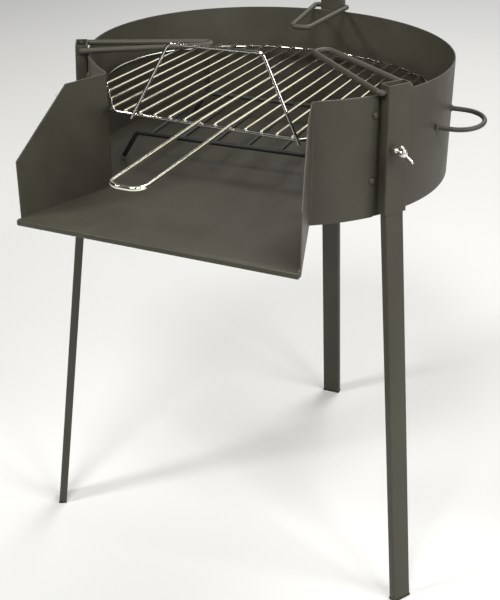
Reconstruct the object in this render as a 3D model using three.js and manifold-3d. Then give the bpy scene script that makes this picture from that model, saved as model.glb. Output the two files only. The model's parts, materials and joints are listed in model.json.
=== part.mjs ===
// Round steel drum barbecue on three splayed legs, with an open front tray, three folding
// pan arms, a lift-out chrome grill and a fire grate.  Millimetres, +Z up, front towards -Y.
// All heights are first written from the drum rim (rim = 0) and shifted to the floor at the end.
import * as THREE from 'three';
import * as BufferGeometryUtils from 'three/addons/utils/BufferGeometryUtils.js';
import Module from 'manifold-3d';

const wasm = await Module();
wasm.setup();

const rad = (degrees) => degrees * Math.PI / 180;

// ---------------------------------------------------------------- driving sizes
const drumRadius = 237.5;            // outside of the rolled wall
const sheet = 1.5;                   // steel sheet thickness
const gap = 0.3;                     // clearance left between neighbouring pieces
const wallHeight = 151;
const floorLevel = -143;             // top of the floor sheet
const openingHalfAngle = 34;         // half of the front opening, seen from the drum axis
const standHeight = 698;             // rim above the ground

const wallBottom = -wallHeight;
const wallInner = drumRadius - sheet;
const flangeInner = drumRadius + gap;
const flangeOuter = flangeInner + sheet;

// front wings and tray
const flangeEndHalfAngle = 54.0;     // free edge of the curved flange
const wingFrontY = -335;
const wingFrontX = 178;
const wingKink = 63.5;                // length of the level top edge
const wingFrontTop = -74.5;           // height of the wing at its front edge
const hemHeight = 8;
const hemDepth = 8.5;
const hemHalfLength = 178.4;

// leg sockets and legs
const stationAngles = { left: 209.5, right: 328.5, rear: 91.8 };
const socketWidth = 34;
const socketDepth = 15;
const socketTops = { left: 10.2, right: 13.5, rear: 16 };
const socketBottom = -143.2;
const socketLean = rad(2.2);
const legWidth = 29;
const legDepth = 11.2;
const legWall = 1.4;
const legTop = -16;
const legSplay = rad(7.1);
const capHeight = 3.4;

// pan arms
const armRodRadius = 3.5;
const armRootHalfWidth = { left: 22, right: 24.4, rear: 24.4 };
const armRootShift = { left: 0, right: 0.2, rear: 2.3 };    // each arm sits a little off centre
const armPivotHeight = 4.5;
const armTipRadius = { left: 77, right: 93.7, rear: 102.5 };   // loop end from the drum axis
const armTipHalfWidth = { left: 8, right: 11.7, rear: 12.4 };
const armTipShift = { left: -3, right: 3, rear: 1.7 };
const armRaise = { left: 0.5, right: 5, rear: -0.4 };        // degrees above level
const armTipBend = 9;
const armRootBend = 6;
const armEndInset = 2.3;             // rod ends stop this far inside the socket's side faces

// clamp screws
const screwHeight = -62;
const screwSide = -8;                // sideways offset of the screw on the socket
const screwRadius = 3;
const screwTurn = { left: 20, right: -52, rear: 35 };
const screwTipGap = 1.2;             // the tip stops this far from the leg
const shankClearance = 0.1;
const nutThickness = 5;
const nutRadius = 5.6;
const hubLength = 9;
const hubRise = 8;                   // hub above the nut's outer face

// flange bolts
const flangeBoltHeights = [-23.5, -104];
const flangeBoltAngle = flangeEndHalfAngle - 1.05;
const boltRadius = 2;
const boltClearance = 0.15;
const boltHead = [[0, 4.2], [0.9, 4.0], [2.0, 3.1], [2.8, 1.5]];   // height and radius of the dome
const flangeNutRadius = 3.8;
const flangeNutThickness = 3.6;

// side handles
const handleHeight = -61;
const handleHalfSpan = 33;
const handleStraight = 18;
const handleTilt = 3;                // the rear root is welded this much higher, the front lower
const sideHandleRadius = 3.1;

// chrome grill
const barRadius = 2;
const rimRadius = 2;
const grillRadius = 219;
const grillChord = 209;
const grillCorner = { left: 124, right: 116 };   // front corners, from the grill's middle
const grillSideAngle = 25;
const barPitch = 19.5;
const barsPerSide = 10;
const handleRadius = 2.5;
const handleReach = 437;
const handleDroop = rad(1.8);        // the handle sags a little in front of the grill
const handleBars = [-0.5 * barPitch, 1.5 * barPitch];
const bailMiddle = 0.5 * barPitch + 0.5;
const bailFootHalf = 107.5;
const bailTopHalf = 58;
const bailHeight = { left: 91.3, right: 95.3 };   // it stands a little askew
const bailOverhang = 4;
const grillCentre = [0, 1, -50];
const grillYaw = rad(1.6);
const grillRiseY = -0.033;           // height change of the grill per millimetre towards the rear
const grillRiseX = -0.016;           // and towards the right
const restRadius = 2.6;
const restHeight = -51.2;
const restAngle = 37.6;              // grill rests stand just behind the front edges of the wall
const restReach = 8;

// fire grate
const grateRadius = 3;
const grateBarRadius = 2.5;
const grateLevel = -105;
const grateFrontY = -95;
const grateRearY = 105;
const grateFrontHalfWidth = 154;
const grateRearHalfWidth = 141;
const grateFootOut = 21;
const grateYaw = rad(3);
const grateBarPitch = 45;
const grateBarsEachSide = 3;
const postInset = 3;                 // rear posts stand this far inside the bridge's corners
const postClearance = 1.2;           // and stop this far below the grill wires

const frontAngle = -90;              // direction of the front, seen from above

// ---------------------------------------------------------------- looks
const finishes = {
  black_paint: { color: 0x2b2a26, roughness: 0.55, metalness: 0.2 },
  chrome: { color: 0xcfcac0, roughness: 0.18, metalness: 1.0 },
  zinc: { color: 0xb9b8b4, roughness: 0.35, metalness: 1.0 },
  grate_black: { color: 0x1d1d1c, roughness: 0.7, metalness: 0.3 },
  black_plastic: { color: 0x151515, roughness: 0.6, metalness: 0.0 },
};

const group = new THREE.Group();

function addMesh(name, geometry, finish) {
  const mesh = new THREE.Mesh(geometry, new THREE.MeshStandardMaterial(finishes[finish]));
  mesh.name = name;
  group.add(mesh);
  return mesh;
}

// ---------------------------------------------------------------- solid helpers
const vec = (x, y, z) => new THREE.Vector3(x, y, z);

function weld(geometry) {
  const bare = new THREE.BufferGeometry();
  bare.setAttribute('position', geometry.getAttribute('position').clone());
  if (geometry.index) bare.setIndex(geometry.index.clone());
  return BufferGeometryUtils.mergeVertices(bare, 1e-4);
}

function toManifold(geometry) {
  const welded = weld(geometry);
  return new wasm.Manifold(new wasm.Mesh({
    numProp: 3,
    vertProperties: Float32Array.from(welded.getAttribute('position').array),
    triVerts: Uint32Array.from(welded.index.array),
  }));
}

function fromManifold(solid) {
  const result = solid.getMesh();
  const geometry = new THREE.BufferGeometry();
  const stride = result.numProp;
  const count = result.vertProperties.length / stride;
  const positions = new Float32Array(count * 3);
  for (let i = 0; i < count; i += 1) {
    positions[3 * i] = result.vertProperties[stride * i];
    positions[3 * i + 1] = result.vertProperties[stride * i + 1];
    positions[3 * i + 2] = result.vertProperties[stride * i + 2];
  }
  geometry.setAttribute('position', new THREE.BufferAttribute(positions, 3));
  geometry.setIndex(new THREE.BufferAttribute(Uint32Array.from(result.triVerts), 1));
  geometry.computeVertexNormals();
  return geometry;
}

function unite(geometries) {
  return fromManifold(geometries.map(toManifold).reduce((sum, part) => sum.add(part)));
}

function cut(geometry, tools) {
  const start = toManifold(geometry);
  return fromManifold(tools.map(toManifold).reduce((rest, tool) => rest.subtract(tool), start));
}

// A closed surface from rings of points: ring after ring is joined, and both ends are capped
// unless the last ring is joined back to the first.
function loft(rings, closed = false) {
  const size = rings[0].length;
  const positions = [];
  const index = [];
  rings.forEach((ring) => ring.forEach((p) => positions.push(p.x, p.y, p.z)));
  const last = closed ? rings.length : rings.length - 1;
  for (let k = 0; k < last; k += 1) {
    const a = k * size;
    const b = ((k + 1) % rings.length) * size;
    for (let i = 0; i < size; i += 1) {
      const j = (i + 1) % size;
      index.push(a + i, a + j, b + j);
      index.push(a + i, b + j, b + i);
    }
  }
  if (!closed) {
    const end = (rings.length - 1) * size;
    for (let i = 1; i < size - 1; i += 1) {
      index.push(0, i + 1, i);
      index.push(end, end + i, end + i + 1);
    }
  }
  const geometry = new THREE.BufferGeometry();
  geometry.setAttribute('position', new THREE.Float32BufferAttribute(positions, 3));
  geometry.setIndex(index);
  geometry.computeVertexNormals();
  return geometry;
}

// Round wire along a run of points, mitred at each corner.
function wire(points, radius, sides = 8, closed = false) {
  const count = points.length;
  const direction = (i, j) => points[j].clone().sub(points[i]).normalize();
  const rings = [];
  let side = null;
  let previous = null;
  for (let i = 0; i < count; i += 1) {
    const before = (i > 0 || closed) ? direction((i - 1 + count) % count, i) : direction(0, 1);
    const after = (i < count - 1 || closed) ? direction(i, (i + 1) % count) : before;
    if (side === null) {
      const helper = Math.abs(after.z) < 0.9 ? vec(0, 0, 1) : vec(1, 0, 0);
      side = helper.clone().cross(before).normalize();
      previous = before.clone();
    }
    const turn = new THREE.Quaternion().setFromUnitVectors(previous, before);
    side.applyQuaternion(turn);
    side.addScaledVector(before, -side.dot(before)).normalize();
    previous = before.clone();
    const other = before.clone().cross(side);
    const plane = before.clone().add(after).normalize();
    const ring = [];
    for (let k = 0; k < sides; k += 1) {
      const angle = 2 * Math.PI * (k + 0.5) / sides;
      const offset = side.clone().multiplyScalar(radius * Math.cos(angle));
      offset.addScaledVector(other, radius * Math.sin(angle));
      const slide = -offset.dot(plane) / before.dot(plane);
      ring.push(points[i].clone().add(offset).addScaledVector(before, slide));
    }
    rings.push(ring);
  }
  return loft(rings, closed);
}

// Replaces the corners of a run of points by short arcs; radius may be a list with one per point.
function roundedRun(points, radius, steps = 3, closed = false) {
  const out = [];
  const count = points.length;
  points.forEach((point, i) => {
    if (!closed && (i === 0 || i === count - 1)) {
      out.push(point.clone());
      return;
    }
    const a = points[(i - 1 + count) % count].clone().sub(point);
    const b = points[(i + 1) % count].clone().sub(point);
    const half = a.angleTo(b) / 2;
    const wanted = Array.isArray(radius) ? radius[i] : radius;
    const reach = Math.min(wanted / Math.tan(half), a.length() * 0.45, b.length() * 0.45);
    const size = reach * Math.tan(half);
    const bisector = a.clone().normalize().add(b.clone().normalize()).normalize();
    const centre = point.clone().addScaledVector(bisector, size / Math.sin(half));
    const from = point.clone().addScaledVector(a.normalize(), reach).sub(centre);
    const to = point.clone().addScaledVector(b.normalize(), reach).sub(centre);
    const sweep = from.angleTo(to);
    const normal = from.clone().cross(to).normalize();
    for (let k = 0; k <= steps; k += 1) {
      out.push(centre.clone().add(from.clone().applyAxisAngle(normal, sweep * k / steps)));
    }
  });
  return out;
}

function cylinderAlong(from, to, radius, sides = 16) {
  return wire([from, to], radius, sides);
}

// Flat shape in XY pulled up from z0 to z1.
function plate(shape, z0, z1, curveSegments = 12) {
  const settings = { depth: z1 - z0, bevelEnabled: false, curveSegments };
  const geometry = new THREE.ExtrudeGeometry(shape, settings);
  geometry.translate(0, 0, z0);
  return geometry;
}

// Outline points of a ring sector between two angles.
function sectorShape(inner, outer, fromDeg, toDeg, steps) {
  const shape = new THREE.Shape();
  for (let i = 0; i <= steps; i += 1) {
    const t = rad(fromDeg + (toDeg - fromDeg) * i / steps);
    if (i === 0) shape.moveTo(outer * Math.cos(t), outer * Math.sin(t));
    else shape.lineTo(outer * Math.cos(t), outer * Math.sin(t));
  }
  for (let i = steps; i >= 0; i -= 1) {
    const t = rad(fromDeg + (toDeg - fromDeg) * i / steps);
    shape.lineTo(inner * Math.cos(t), inner * Math.sin(t));
  }
  shape.closePath();
  return shape;
}

function placeAtStation(geometry, degrees) {
  geometry.rotateZ(rad(degrees));
  return geometry;
}

function mirrorX(geometry) {
  const mirrored = weld(geometry);
  mirrored.scale(-1, 1, 1);
  const index = mirrored.index.array;
  for (let i = 0; i < index.length; i += 3) {
    const keep = index[i + 1];
    index[i + 1] = index[i + 2];
    index[i + 2] = keep;
  }
  mirrored.computeVertexNormals();
  return mirrored;
}

// ---------------------------------------------------------------- drum, floor and wings
function radialPoint(degrees, r, z) {
  return vec(r * Math.cos(rad(degrees)), r * Math.sin(rad(degrees)), z);
}

// Cylinder pointing away from the drum axis, used for bolts and for their holes.
function radialCylinder(degrees, z, from, to, radius, sides = 12) {
  return cylinderAlong(radialPoint(degrees, from, z), radialPoint(degrees, to, z), radius, sides);
}

function drumWall() {
  const cutHalf = openingHalfAngle + 1.6;
  const shape = sectorShape(wallInner, drumRadius, frontAngle + cutHalf, frontAngle + 360 - cutHalf, 72);
  const wall = plate(shape, wallBottom, 0);
  const margin = 4;
  const hole = (degrees, z, radius) => (
    radialCylinder(degrees, z, wallInner - margin, drumRadius + margin, radius)
  );
  const holes = [];
  for (const sign of [-1, 1]) {
    for (const z of flangeBoltHeights) {
      holes.push(hole(frontAngle + sign * flangeBoltAngle, z, boltRadius + boltClearance));
    }
    holes.push(hole(frontAngle + sign * restAngle, restHeight, restRadius + 0.1));
  }
  return cut(wall, holes);
}

// Fold line of the right wing and the direction of the flat part in front of it.
const foldX = flangeOuter * Math.sin(rad(openingHalfAngle));
const foldY = -flangeOuter * Math.cos(rad(openingHalfAngle));
const wingAngle = Math.atan2(foldY - wingFrontY, wingFrontX - foldX);
const wingLength = Math.hypot(wingFrontX - foldX, wingFrontY - foldY);

function wingRight() {
  // flat part: drawn with its length along x and its height along y, then stood up
  const profile = new THREE.Shape();
  profile.moveTo(-sheet, wallBottom);
  profile.lineTo(wingLength, wallBottom);
  profile.lineTo(wingLength, wingFrontTop);
  profile.lineTo(wingKink + 1.5, -1.2);
  profile.lineTo(wingKink - 2.5, 0);
  profile.lineTo(-sheet, 0);
  profile.closePath();
  const flat = new THREE.ExtrudeGeometry(profile, { depth: sheet, bevelEnabled: false });
  flat.rotateX(Math.PI / 2);
  flat.rotateZ(-wingAngle);
  flat.translate(foldX, foldY, 0);
  const fromAngle = frontAngle + openingHalfAngle - 0.25;
  const toAngle = frontAngle + flangeEndHalfAngle;
  const flange = plate(sectorShape(flangeInner, flangeOuter, fromAngle, toAngle, 8), wallBottom, 0);
  const margin = 3;
  const holes = flangeBoltHeights.map((z) => radialCylinder(
    frontAngle + flangeBoltAngle, z, flangeInner - margin, flangeOuter + margin, boltRadius + boltClearance,
  ));
  return cut(unite([flat, flange]), holes);
}

function floorPan() {
  // disc inside the wall, widened in front into the tray between the wings
  const discRadius = wallInner - gap;
  const sideClear = gap + 0.1;
  const shape = new THREE.Shape();
  const start = openingHalfAngle + 1.4;
  const steps = 72;
  for (let i = 0; i <= steps; i += 1) {
    const t = rad(frontAngle + start + (360 - 2 * start) * i / steps);
    if (i === 0) shape.moveTo(discRadius * Math.cos(t), discRadius * Math.sin(t));
    else shape.lineTo(discRadius * Math.cos(t), discRadius * Math.sin(t));
  }
  const inset = sheet + sideClear;
  const insetX = inset * Math.sin(wingAngle);
  const insetY = inset * Math.cos(wingAngle);
  const along = (s) => [foldX + s * Math.cos(wingAngle), foldY - s * Math.sin(wingAngle)];
  const [rearX, rearY] = along(-sheet - 0.6);
  const [frontX, frontY] = along(wingLength - 0.5);
  shape.lineTo(-(rearX - insetX), rearY - insetY);
  shape.lineTo(-(frontX - insetX), frontY - insetY);
  shape.lineTo(-(frontX - insetX), wingFrontY - 4);
  shape.lineTo(frontX - insetX, wingFrontY - 4);
  shape.lineTo(frontX - insetX, frontY - insetY);
  shape.lineTo(rearX - insetX, rearY - insetY);
  shape.closePath();
  const floor = plate(shape, floorLevel - sheet, floorLevel);
  // rolled front hem, drawn in the YZ plane and pulled along X
  const corner = 2.8;
  const hem = new THREE.Shape();
  const yBack = wingFrontY - 0.9;
  const yFront = yBack - hemDepth;
  const top = floorLevel;
  const bottom = floorLevel - hemHeight;
  hem.moveTo(yBack, bottom);
  hem.lineTo(yBack, top);
  hem.lineTo(yFront + corner, top);
  hem.quadraticCurveTo(yFront, top, yFront, top - corner);
  hem.lineTo(yFront, bottom + corner);
  hem.quadraticCurveTo(yFront, bottom, yFront + corner, bottom);
  hem.closePath();
  const round = 1.2;
  const bar = new THREE.ExtrudeGeometry(hem, {
    depth: 2 * (hemHalfLength - round),
    bevelEnabled: true,
    bevelThickness: round,
    bevelSize: round,
    bevelOffset: -round,
    bevelSegments: 2,
    curveSegments: 4,
  });
  bar.translate(0, 0, -(hemHalfLength - round));
  bar.rotateX(Math.PI / 2);
  bar.rotateZ(Math.PI / 2);
  return unite([floor, bar]);
}

// ---------------------------------------------------------------- station parts
// Local frame of a station: x outwards from the drum, y along the tangent, z up.
const socketTouchHeight = 10.2;       // height at which a socket's inner face comes nearest the wall
const socketMiddleTop = drumRadius + gap + 0.2 + socketDepth / 2;
const leanAt = (z) => socketMiddleTop + (socketTouchHeight - z) * Math.tan(socketLean);

// Rectangle of the given size, cut at height z by a plane that leans by cutAngle.
function rectangleAt(x, z, depth, width, axisAngle, cutAngle) {
  const stretch = 1 / Math.cos(cutAngle - axisAngle);
  const dx = Math.cos(cutAngle) * depth / 2 * stretch;
  const dz = Math.sin(cutAngle) * depth / 2 * stretch;
  return [
    vec(x - dx, -width / 2, z - dz),
    vec(x + dx, -width / 2, z + dz),
    vec(x + dx, width / 2, z + dz),
    vec(x - dx, width / 2, z - dz),
  ];
}

function socket(top) {
  const overrun = 5;
  const ring = (z, depth, width) => rectangleAt(leanAt(z), z, depth, width, socketLean, 0);
  const outer = loft([ring(socketBottom, socketDepth, socketWidth), ring(top, socketDepth, socketWidth)]);
  const innerDepth = legDepth + 2 * gap;
  const innerWidth = socketWidth - 2 * sheet;
  const inner = loft([
    ring(socketBottom - overrun, innerDepth, innerWidth),
    ring(top + overrun, innerDepth, innerWidth),
  ]);
  const pivotX = leanAt(armPivotHeight);
  const pivotHole = cylinderAlong(
    vec(pivotX, -socketWidth, armPivotHeight), vec(pivotX, socketWidth, armPivotHeight),
    armRodRadius + 0.1, 24,
  );
  const screwX = leanAt(screwHeight);
  const screwHole = cylinderAlong(
    vec(screwX, screwSide, screwHeight), vec(screwX + 20, screwSide, screwHeight), screwRadius + 0.4, 16,
  );
  return cut(outer, [inner, pivotHole, screwHole]);
}

const legBendZ = socketBottom - 1.5;
const legFootZ = -standHeight + capHeight;
const footShift = (z) => leanAt(legBendZ) + (legBendZ - z) * Math.tan(legSplay);

function legSections(depth, width, topExtra, bottomExtra) {
  const topZ = legTop + topExtra;
  const footZ = legFootZ - bottomExtra;
  const bendLean = (legSplay + socketLean) / 2;
  return [
    rectangleAt(footShift(footZ), footZ, depth, width, legSplay, 0),
    rectangleAt(leanAt(legBendZ), legBendZ, depth, width, bendLean, bendLean),
    rectangleAt(leanAt(topZ), topZ, depth, width, socketLean, socketLean),
  ];
}

function leg() {
  const outer = loft(legSections(legDepth, legWidth, 0, 0));
  const inner = loft(legSections(legDepth - 2 * legWall, legWidth - 2 * legWall, 5, 5));
  return cut(outer, [inner]);
}

function footCap() {
  const ground = -standHeight;
  const plugDepth = legDepth - 2 * legWall - 2 * gap;
  const plugWidth = legWidth - 2 * legWall - 2 * gap;
  const shelf = legFootZ - gap;
  const plugTop = legFootZ + 12;
  return loft([
    rectangleAt(footShift(ground), ground, legDepth, legWidth, legSplay, 0),
    rectangleAt(footShift(shelf), shelf, legDepth, legWidth, legSplay, 0),
    rectangleAt(footShift(shelf), shelf, plugDepth, plugWidth, legSplay, 0),
    rectangleAt(footShift(plugTop), plugTop, plugDepth, plugWidth, legSplay, 0),
  ]);
}

function panArm(place) {
  const pivotX = leanAt(armPivotHeight);
  const tip = armTipRadius[place] + armRodRadius - pivotX;
  const endY = socketWidth / 2 - armEndInset;
  const run = [
    vec(0, -endY, 0),
    vec(0, armRootShift[place] - armRootHalfWidth[place], 0),
    vec(tip, armTipShift[place] - armTipHalfWidth[place], 0),
    vec(tip, armTipShift[place] + armTipHalfWidth[place], 0),
    vec(0, armRootShift[place] + armRootHalfWidth[place], 0),
    vec(0, endY, 0),
  ];
  const bends = [0, armRootBend, armTipBend, armTipBend, armRootBend, 0];
  const arm = wire(roundedRun(run, bends, 4), armRodRadius, 10);
  arm.rotateY(rad(armRaise[place]));
  arm.translate(pivotX, 0, armPivotHeight);
  return arm;
}

const socketFace = leanAt(screwHeight) + socketDepth / 2;

function clampNut() {
  const seat = socketFace + gap + (nutRadius + 0.6) * Math.tan(socketLean);
  const at = (x) => vec(seat + x, screwSide, screwHeight);
  const body = cylinderAlong(at(0), at(nutThickness), nutRadius, 6);
  const bore = cylinderAlong(at(-2), at(nutThickness + 2), screwRadius + shankClearance, 24);
  return cut(body, [bore]);
}

function wingScrew(turn) {
  const tip = leanAt(screwHeight) + legDepth / 2 + screwTipGap;
  const hubStart = socketFace + nutThickness + hubRise;
  const hubEnd = hubStart + hubLength;
  const shank = cylinderAlong(vec(tip, 0, 0), vec(hubStart + 2, 0, 0), screwRadius, 16);
  const hub = loft([
    ringAlongX(hubStart, 5.6, 12),
    ringAlongX(hubEnd - 2, 4.6, 12),
    ringAlongX(hubEnd, 3.6, 12),
  ]);
  const ear = new THREE.Shape();
  ear.moveTo(hubStart + 0.8, 0);
  ear.lineTo(hubStart + 1.8, 4);
  ear.quadraticCurveTo(hubStart + 3.5, 9, hubStart + 7.5, 13.5);
  ear.quadraticCurveTo(hubStart + 10.5, 16.5, hubStart + 13, 15);
  ear.quadraticCurveTo(hubStart + 15, 12.5, hubStart + 12.5, 9);
  ear.quadraticCurveTo(hubStart + 9.5, 5.5, hubStart + 8, 0);
  ear.closePath();
  const round = 0.5;
  const flat = 1.6;
  const upper = new THREE.ExtrudeGeometry(ear, {
    depth: flat,
    bevelEnabled: true,
    bevelThickness: round,
    bevelSize: round,
    bevelOffset: -round,
    bevelSegments: 1,
    curveSegments: 4,
  });
  upper.translate(0, 0, -flat / 2);
  const lower = upper.clone();
  lower.rotateX(Math.PI);
  const screw = unite([shank, hub, upper, lower]);
  screw.rotateX(rad(turn));
  screw.translate(0, screwSide, screwHeight);
  return screw;
}

function ringAlongX(x, radius, sides) {
  const ring = [];
  for (let k = 0; k < sides; k += 1) {
    const angle = 2 * Math.PI * (k + 0.5) / sides;
    ring.push(vec(x, radius * Math.cos(angle), radius * Math.sin(angle)));
  }
  return ring;
}

// ---------------------------------------------------------------- side handles and small fasteners
function sideHandle() {
  const weldX = Math.sqrt((drumRadius + gap) ** 2 - handleHalfSpan ** 2) + 0.9;
  const arcX = weldX + handleStraight;
  const at = (x, share) => vec(x, share * handleHalfSpan, handleHeight + share * handleTilt);
  const run = [at(weldX, -1)];
  const arcSteps = 12;
  for (let i = 0; i <= arcSteps; i += 1) {
    const t = -Math.PI / 2 + Math.PI * i / arcSteps;
    run.push(at(arcX + handleHalfSpan * Math.cos(t), Math.sin(t)));
  }
  run.push(at(weldX, 1));
  return wire(run, sideHandleRadius, 10);
}

function flangeBolt(sign, z) {
  const angle = frontAngle + sign * flangeBoltAngle;
  const headFrom = flangeOuter + gap;
  const shank = radialCylinder(angle, z, wallInner - 6, headFrom + 1, boltRadius);
  const direction = radialPoint(angle, 1, 0);
  const head = boltHead.map(([height, radius]) => (
    discRing(radialPoint(angle, headFrom + height, z), direction, radius, 12)
  ));
  return unite([shank, loft(head)]);
}

// Pin that carries the front of the grill: it sits in a hole of the wall and its chamfered tip
// points towards the drum axis.
function grillRest(sign) {
  const angle = frontAngle + sign * restAngle;
  const at = (r) => radialPoint(angle, r, restHeight);
  const direction = radialPoint(angle, 1, 0);
  const inner = wallInner - restReach;
  return loft([
    discRing(at(inner), direction, restRadius - 0.8, 12),
    discRing(at(inner + 1), direction, restRadius, 12),
    discRing(at(flangeInner - gap), direction, restRadius, 12),
  ]);
}

function flangeNut(sign, z) {
  const angle = frontAngle + sign * flangeBoltAngle;
  const seat = wallInner - gap;
  const body = radialCylinder(angle, z, seat - flangeNutThickness, seat, flangeNutRadius, 6);
  const bore = radialCylinder(
    angle, z, seat - flangeNutThickness - 2, seat + 2, boltRadius + boltClearance,
  );
  return cut(body, [bore]);
}

function discRing(centre, direction, radius, sides) {
  const up = vec(0, 0, 1);
  const side = up.clone().cross(direction).normalize();
  const ring = [];
  for (let k = 0; k < sides; k += 1) {
    const angle = 2 * Math.PI * (k + 0.5) / sides;
    const point = centre.clone().addScaledVector(side, radius * Math.cos(angle));
    ring.push(point.addScaledVector(up, radius * Math.sin(angle)));
  }
  return ring;
}

// ---------------------------------------------------------------- chrome grill
function placeGrill(geometry) {
  geometry.rotateZ(grillYaw);
  geometry.rotateX(Math.atan(grillRiseY));
  geometry.rotateY(Math.atan(-grillRiseX));
  geometry.translate(...grillCentre);
  return geometry;
}

// Where the outline lies in front and behind, for a bar at this x.
function grillReach(x) {
  const joinX = grillRadius * Math.cos(rad(grillSideAngle));
  const joinY = -grillRadius * Math.sin(rad(grillSideAngle));
  const rear = Math.sqrt(grillRadius ** 2 - x * x);
  const ax = Math.abs(x);
  const cornerX = x < 0 ? grillCorner.left : grillCorner.right;
  let front = -grillChord;
  if (ax > cornerX) {
    front = -grillChord + (joinY + grillChord) * (ax - cornerX) / (joinX - cornerX);
  }
  return [front, rear];
}

const isHandleBar = (x) => handleBars.some((h) => Math.abs(h - x) < 0.1);

function grillGrid() {
  const run = [];
  const steps = 44;
  for (let i = 0; i <= steps; i += 1) {
    const t = rad(-grillSideAngle + (180 + 2 * grillSideAngle) * i / steps);
    run.push(vec(grillRadius * Math.cos(t), grillRadius * Math.sin(t), 0));
  }
  const corners = [vec(-grillCorner.left, -grillChord, 0), vec(grillCorner.right, -grillChord, 0)];
  const front = roundedRun([run[steps], ...corners, run[0]], 9, 3).slice(1, -1);
  const parts = [wire([...run, ...front], rimRadius, 8, true)];
  const lift = rimRadius + barRadius - 0.7;
  for (let i = 0; i < barsPerSide; i += 1) {
    for (const sign of [-1, 1]) {
      const x = sign * (i + 0.5) * barPitch;
      if (isHandleBar(x)) continue;
      const [y0, y1] = grillReach(x);
      parts.push(wire([vec(x, y0 - 1.6, lift), vec(x, y1 + 1.6, lift)], barRadius, 8));
    }
  }
  return unite(parts);
}

function grillHandle() {
  const level = rimRadius + handleRadius + gap;
  const [left, right] = handleBars;
  const rear = (x) => grillReach(x)[1] + 2;
  const sag = (handleReach - grillChord) * Math.tan(handleDroop);
  const corner = [
    vec(left, rear(left), level),
    vec(left, -grillChord, level),
    vec(left, -handleReach, level - sag),
    vec(right, -handleReach, level - sag),
    vec(right, -grillChord, level),
    vec(right, rear(right), level),
  ];
  return wire(roundedRun(corner, 15, 5), handleRadius, 8);
}

function grillBail() {
  // trapezoid of wire standing on the front of the grill, just ahead of the chord wire
  const y = -grillChord - rimRadius - barRadius - gap - 1.8;
  const run = [
    vec(bailMiddle - bailFootHalf, y, -bailOverhang),
    vec(bailMiddle - bailTopHalf, y, bailHeight.left),
    vec(bailMiddle + bailTopHalf, y, bailHeight.right),
    vec(bailMiddle + bailFootHalf, y, -bailOverhang),
  ];
  return wire(roundedRun(run, 9, 3), barRadius, 8);
}

// ---------------------------------------------------------------- fire grate
function grateBridge(y, halfWidth) {
  const drop = floorLevel + gap + grateRadius - grateLevel;
  const run = [
    vec(-halfWidth - grateFootOut, y, grateLevel + drop),
    vec(-halfWidth, y, grateLevel),
    vec(halfWidth, y, grateLevel),
    vec(halfWidth + grateFootOut, y, grateLevel + drop),
  ];
  return wire(roundedRun(run, 8, 3), grateRadius, 8);
}

function fireGrate() {
  const parts = [
    grateBridge(grateFrontY, grateFrontHalfWidth),
    grateBridge(grateRearY, grateRearHalfWidth),
  ];
  for (let i = -grateBarsEachSide; i <= grateBarsEachSide; i += 1) {
    const x = i * grateBarPitch;
    const ends = [vec(x, grateFrontY - 1, grateLevel), vec(x, grateRearY + 1, grateLevel)];
    parts.push(wire(ends, grateBarRadius, 8));
  }
  for (const x of [postInset - grateRearHalfWidth, grateRearHalfWidth - postInset]) {
    // each rear post ends just under the grill bars above it
    const post = vec(x, grateRearY, 0).applyAxisAngle(vec(0, 0, 1), grateYaw);
    const plane = grillCentre[2] + grillRiseX * post.x + grillRiseY * post.y;
    const top = plane - rimRadius - postClearance;
    parts.push(wire([vec(x, grateRearY, grateLevel - 2), vec(x, grateRearY, top)], grateRadius, 8));
  }
  const grate = unite(parts);
  grate.rotateZ(grateYaw);
  return grate;
}

// ---------------------------------------------------------------- assembly
addMesh('drum_wall', drumWall(), 'black_paint');
addMesh('floor_pan', floorPan(), 'black_paint');
const rightWing = wingRight();
addMesh('wing_right', rightWing, 'black_paint');
addMesh('wing_left', mirrorX(rightWing), 'black_paint');

for (const [place, angle] of Object.entries(stationAngles)) {
  addMesh(`socket_${place}`, placeAtStation(socket(socketTops[place]), angle), 'black_paint');
  addMesh(`leg_${place}`, placeAtStation(leg(), angle), 'black_paint');
  addMesh(`foot_cap_${place}`, placeAtStation(footCap(), angle), 'black_plastic');
  addMesh(`pan_arm_${place}`, placeAtStation(panArm(place), angle), 'black_paint');
  addMesh(`clamp_nut_${place}`, placeAtStation(clampNut(), angle), 'black_paint');
  addMesh(`wing_screw_${place}`, placeAtStation(wingScrew(screwTurn[place]), angle), 'zinc');
}

addMesh('side_handle_right', sideHandle(), 'black_paint');
addMesh('side_handle_left', mirrorX(sideHandle()), 'black_paint');

for (const [place, sign] of [['left', -1], ['right', 1]]) {
  flangeBoltHeights.forEach((z, i) => {
    const level = ['upper', 'lower'][i];
    addMesh(`flange_bolt_${place}_${level}`, flangeBolt(sign, z), 'black_paint');
    addMesh(`flange_nut_${place}_${level}`, flangeNut(sign, z), 'zinc');
  });
}

addMesh('grill_rest_left', grillRest(-1), 'black_paint');
addMesh('grill_rest_right', grillRest(1), 'black_paint');

addMesh('grill_grid', placeGrill(grillGrid()), 'chrome');
addMesh('grill_handle', placeGrill(grillHandle()), 'chrome');
addMesh('grill_bail', placeGrill(grillBail()), 'chrome');
addMesh('fire_grate', fireGrate(), 'grate_black');

// Shift everything so that the feet stand on z = 0 and the outline is centred in x and y.
const bounds = new THREE.Box3().setFromObject(group);
const middle = bounds.getCenter(new THREE.Vector3());
for (const mesh of group.children) {
  mesh.geometry.translate(-middle.x, -middle.y, -bounds.min.z);
}

export default group;
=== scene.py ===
import json
import math
import random

import bmesh
import bpy
from mathutils import Matrix, Vector


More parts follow.
